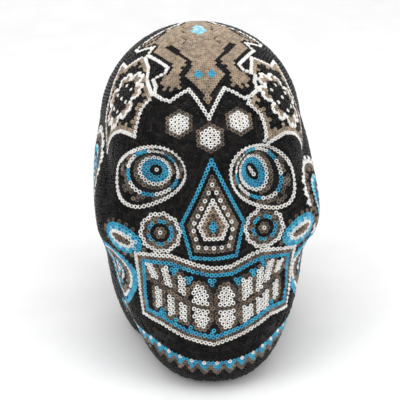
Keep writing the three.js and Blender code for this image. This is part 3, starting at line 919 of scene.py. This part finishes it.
for i, (u, bite_v, wide, lean) in enumerate(TEETH):
    for part, way in (("upper", 1), ("lower", -1)):
        field = tooth_fields.setdefault(f"tooth_{part}_{i + 1}", [])
        white = []
        if wide == 4:
            for row, many in enumerate(WIDE_TOOTH):
                across = (np.arange(many) - (many - 1) / 2) * PITCH
                rises = np.interp(u + across, *np.transpose(bite)) + way * (1.75 + row * ROW)
                white += [np.array([u + a, rise]) for a, rise in zip(across, rises)]
        else:
            down = unit(np.array([lean if way > 0 else 0, way]))
            across = np.array([down[1], -down[0]]) * way
            for column in range(wide):
                for step in range(-1, 6):
                    sideways = across * (column - (wide - 1) / 2) * ROW
                    spot = sideways + down * (step + 0.5 * (column % 2)) * PITCH + (u, bite_v)
                    gap = way * (spot[1] - np.interp(spot[0], *np.transpose(bite)))
                    if TOOTH_START < gap < TOOTH_END:
                        white.append(spot)
        lay_spots(field, wrap, white, "white", apart=0.78)
        ring = []
        for turn in np.linspace(0, 2 * math.pi, 72, endpoint=False):
            line = np.array([math.cos(turn), math.sin(turn)])
            ring.append(max(white, key=lambda spot: spot @ line) + line * ROW * 1.04)
        rings_round_teeth.append(ring)
for ring in rings_round_teeth:
    lay_row(gum, wrap, ring, [("bronze", 1)], apart=0.8)
fill([border, gum], wrap, inset(BORDER, ROW * 1.6), gum, apart=0.86)
finish_field("gum_panel", gum)
for node, field in tooth_fields.items():
    finish_field(node, field)

# ---------------------------------------------------------------------------------------
# Face flowers: round ones on the cheeks, a leaf on each cheekbone, a nest of ovals on each
# side of the jaw, a scalloped sun on each side of the head and one at the back of it.

SIDE_FLOWERS = {"left": (49.5, -28, 79), "right": (52, 2, 88)}
LEAF_LEAN, LEAF_MIDDLE = math.radians(33), (1.5, -1.4)
NEST_SIZE, NEST_MIDDLE = [20.5, 15.4], (-8, 3)


def leaf(across, tall):
    """One row's outline in a cheekbone flower."""
    return np.array(turned(circle(1.0, 60) * [across, tall], LEAF_LEAN)) + LEAF_MIDDLE


suns = []
for mark, sign in SIDES:
    cheek = []
    cheek_chart = aimed(sign * 22.5, 1.5)
    rosette(cheek, cheek_chart, ["white", "bronze"])
    bumps = circle(1.0, 72)
    swing = 0.45 * np.cos(10 * np.arctan2(bumps[:, 1], bumps[:, 0]))
    lay_row(cheek, cheek_chart, bumps * (8.8 + swing)[:, None], [("white", 1)])
    rings = [(3.7, [("black", 1)]), (5.3, [("blue", 2), ("bronze", 1)]), (6.9, [("bronze", 1)])]
    ringed(cheek, cheek_chart, rings, apart=0.78)
    filled(cheek, cheek_chart, circle(8), "bronze")
    finish_field(f"cheek_flower_{mark}", cheek)

    bone = []
    bone_chart = Chart((sign * 40.4, -53.2, 74.6), (sign * 0.6, -0.8, 0.05))
    rings = [
        (11.4, 7.8, [("bronze", 1), ("black", 1)]),
        (9.6, 6.0, [("blue", 1)]),
        (7.9, 4.4, [("blue", 1), ("aqua", 1)]),
        (6.2, 2.8, [("white", 1)]),
        (4.4, 1.1, [("bronze", 1)]),
    ]
    for across, tall, pattern in rings:
        lay_row(bone, bone_chart, own_side(leaf(across, tall), sign), pattern, apart=0.78)
    filled(bone, bone_chart, own_side(leaf(9, 5.5), sign), "white")
    finish_field(f"cheekbone_flower_{mark}", bone)

    nest = []
    nest_chart = Chart((sign * 44, -27, 42), (sign * 0.98, -0.2, -0.05))
    nest_rows = ["blue", "blue", "white", "bronze", "bronze", "black", "blue", "white", "bronze", "white"]
    for k, colour in enumerate(nest_rows):
        half = [max(NEST_SIZE[0] - k * 1.86, 1), max(NEST_SIZE[1] - k * 1.6, 0.6)]
        shape = circle(1.0, 80) * half + NEST_MIDDLE
        lay_row(nest, nest_chart, own_side(shape, sign), [(colour, 1)])
    filled(nest, nest_chart, own_side(circle(1.0, 80) * NEST_SIZE + NEST_MIDDLE, sign), "blue")
    finish_field(f"jaw_oval_{mark}", nest)

    sun_chart = Chart(SIDE_FLOWERS[mark] * np.array([sign, 1, 1]), (sign * 1.0, -0.1, 0.1))
    rings = [
        (18.4, [("white", 2), ("black", 1)]),
        (16.6, [("white", 1)]),
        (14.8, [("bronze", 1)]),
        (13.0, [("bronze", 2), ("black", 1)]),
        (11.2, [("black", 1)]),
        (9.4, [("aqua", 3), ("white", 1)]),
        (7.6, [("blue", 1)]),
        (5.8, [("black", 1)]),
        (3.9, [("white", 1), ("bronze", 1)]),
    ]
    ringed(suns, sun_chart, rings)
    rosette(suns, sun_chart, ["white", "blue"])
    filled(suns, sun_chart, own_side(circle(17.5), sign), "black")

back, back_edge = [], []
back_chart = aimed(180, 12)
rings = [
    (21.9, [("blue", 1)]),
    (20.1, [("black", 1)]),
    (18.3, [("tan", 1)]),
    (16.5, [("tan", 3), ("white", 1)]),
    (14.7, [("black", 1)]),
    (12.9, [("white", 2), ("blue", 2)]),
    (11.1, [("blue", 1)]),
    (9.3, [("black", 1)]),
    (7.5, [("bronze", 1)]),
    (5.7, [("white", 1), ("bronze", 1)]),
    (3.9, [("black", 1)]),
]
ringed(back_edge, back_chart, [(25.5, [("white", 1)]), (23.7, [("white", 3), ("blue", 1)])])
ringed(back, back_chart, rings)
rosette(back, back_chart, ["white", "blue"])
filled(back, back_chart, circle(24.5), "black")
finish_field("back_flower", back)
finish_field("back_flower_edge", back_edge)

# ---------------------------------------------------------------------------------------
# Jaw edge: rows that follow the edge of the jaw from one side to the other: white and
# turquoise first, then turquoise points, a bronze zigzag and black down to the table.

SLOPE_Y = [-95, -72, -56, -24]
SLOPE_Z = [8, 16.5, 23, 25]


def first_jaw_row():
    """Where the band's upper edge crosses the skin, from the right side round the chin."""
    heads = np.radians(np.linspace(-72, 72, 400))
    low, high = np.full(heads.shape, math.radians(175)), np.full(heads.shape, math.radians(70))
    for _ in range(24):
        mid = (low + high) / 2
        lines = lines_at(mid, heads)
        p = CENTRE + lines * along(lines)[:, None]
        over = p[:, 2] > np.interp(p[:, 1], SLOPE_Y, SLOPE_Z)
        high, low = np.where(over, mid, high), np.where(over, low, mid)
    return p


# One repeat of each row: white over turquoise points, bronze round them; black below.
JAW_ROWS = [
    {0: "white", 1: "blue", 2: "blue"},
    {0.5: "blue", 1.5: "bronze", 2.5: "blue"},
    {0: "blue", 1: "bronze", 2: "bronze"},
    {0.5: "bronze", 1.5: "black", 2.5: "bronze"},
    {0: "bronze", 1: "black", 2: "black"},
]
jaw = []
track = first_jaw_row()
for k in range(13):
    run = np.concatenate([[0], np.cumsum(np.linalg.norm(np.diff(track, axis=0), axis=1))])
    run -= np.interp(0, track[:, 0], run)
    half = 0.5 * (k % 2)
    stops = np.arange(math.ceil(run[0] / PITCH - half), math.floor(run[-1] / PITCH - half) + 1) + half
    row = np.stack([np.interp(stops * PITCH, run, track[:, i]) for i in range(3)], -1)
    colours = JAW_ROWS[k] if k < len(JAW_ROWS) else {half + i: "black" for i in range(3)}
    for stop, p in zip(stops, row):
        n = put(p, PITCH * 0.86)
        if n is not None:
            jaw.append((n, colours[stop % 3]))
    ahead = unit(np.gradient(track, axis=0))
    down = unit(np.cross(ahead, outward(track)))
    track = track + down * (ROW if down[200, 2] < 0 else -ROW)
    for _ in range(3):
        track = track - outward(track) * skull_distance(track)[:, None]
finish_field("jaw_edge_band", jaw)

# ---------------------------------------------------------------------------------------
# Black ground: glossy black beads fill all that the motifs leave. Their rows start against
# the motifs' edges and meet halfway, on the face side and round the back.

ground = list(suns)
for apart in (0.92, 0.84):
    grow(range(len(laid)), lambda p: p[:, 2] > FLOOR, lambda p: ["black"] * len(p), ground, apart)
LEVELS = {  # each ground in pieces one above the other, on both sides
    "ground_face": (("jaw", 0, 55), ("cheeks", 55, 92), ("brow", 92, 200)),
    "ground_back": (("nape", 0, 50), ("occiput", 50, 100), ("crown", 100, 200)),
}
for node, levels in LEVELS.items():
    for level, low, high in levels:
        for mark, sign in SIDES:
            piece = []
            for n, colour in ground:
                x, y, z = laid[n]
                behind = "ground_back" if y >= 0 else "ground_face"
                if behind == node and low < z <= high and (x >= 0) == (sign > 0):
                    piece.append((n, colour))
            finish_field(node, piece, f"_{level}_{mark}_beads")

# ---------------------------------------------------------------------------------------
# Studio: the skull stands on a pale sweep that runs up behind it, under large soft lamps,
# seen from a little above and a little to its right.


def sweep():
    """A floor that curves up into a backdrop."""
    bend = np.linspace(0, math.pi / 2, 16)
    track = [(-3.2, 0.0)]
    track += [(0.55 + 0.25 * math.sin(a), 0.25 - 0.25 * math.cos(a)) for a in bend]
    track += [(0.8, 1.4)]
    points = []
    for x in (-3.2, 3.2):
        points += [(x / MM, y / MM - SHIFT[1], z / MM) for y, z in track]
    many = len(track)
    faces = [[i, i + 1, many + i + 1, many + i][::-1] for i in range(many - 1)]
    paper = mottled("studio_paper", (0.86, 0.86, 0.86), (0.9, 0.9, 0.9), 0.8, 0.05, 30)
    return add_mesh("studio_floor", points, faces, [paper])


sweep()


def lamp(name, at, aim, size, power):
    light = bpy.data.lights.new(name, "AREA")
    light.shape = "RECTANGLE"
    light.size, light.size_y = size
    light.energy = power
    holder = bpy.data.objects.new(name, light)
    holder.location = at
    holder.rotation_euler = (Vector(aim) - Vector(at)).to_track_quat("-Z", "Y").to_euler()
    scene.collection.objects.link(holder)


TARGET = (0, 0, 0.075)
lamp("lamp_over", (0.0, -0.15, 1.0), TARGET, (1.2, 1.0), 9)
lamp("lamp_right", (0.9, -0.6, 0.7), TARGET, (0.7, 0.9), 4)
lamp("lamp_left", (-0.9, -0.5, 0.7), TARGET, (0.7, 0.9), 4)
lamp("lamp_front", (0.1, -1.2, 0.6), TARGET, (0.9, 0.6), 4)

world = scene.world or bpy.data.worlds.new("world")
scene.world = world
world.use_nodes = True
background = world.node_tree.nodes["Background"]
background.inputs["Color"].default_value = (1, 1, 1, 1)
background.inputs["Strength"].default_value = 0.3

AZIMUTH, ELEVATION, ROLL = math.radians(-2.97), math.radians(22.94), math.radians(-1.63)
AWAY = 0.7  # from the camera to the skull
SEEN = 400 / 2.05 * MM  # across the view at the skull
camera = bpy.data.cameras.new("camera")
camera.sensor_width = 36
camera.lens = camera.sensor_width * AWAY / SEEN
viewer = bpy.data.objects.new("camera", camera)
level = math.cos(ELEVATION)
back_way = Vector((math.sin(AZIMUTH) * level, -math.cos(AZIMUTH) * level, math.sin(ELEVATION)))
look = Vector((-0.00212, float(SHIFT[1]) * MM, 0.0678))
viewer.location = look + back_way * AWAY
tilt = back_way.to_track_quat("Z", "Y").to_matrix().to_4x4()
viewer.rotation_euler = (tilt @ Matrix.Rotation(ROLL, 4, "Z")).to_euler()
scene.collection.objects.link(viewer)
scene.camera = viewer
scene.view_settings.view_transform = "Standard"
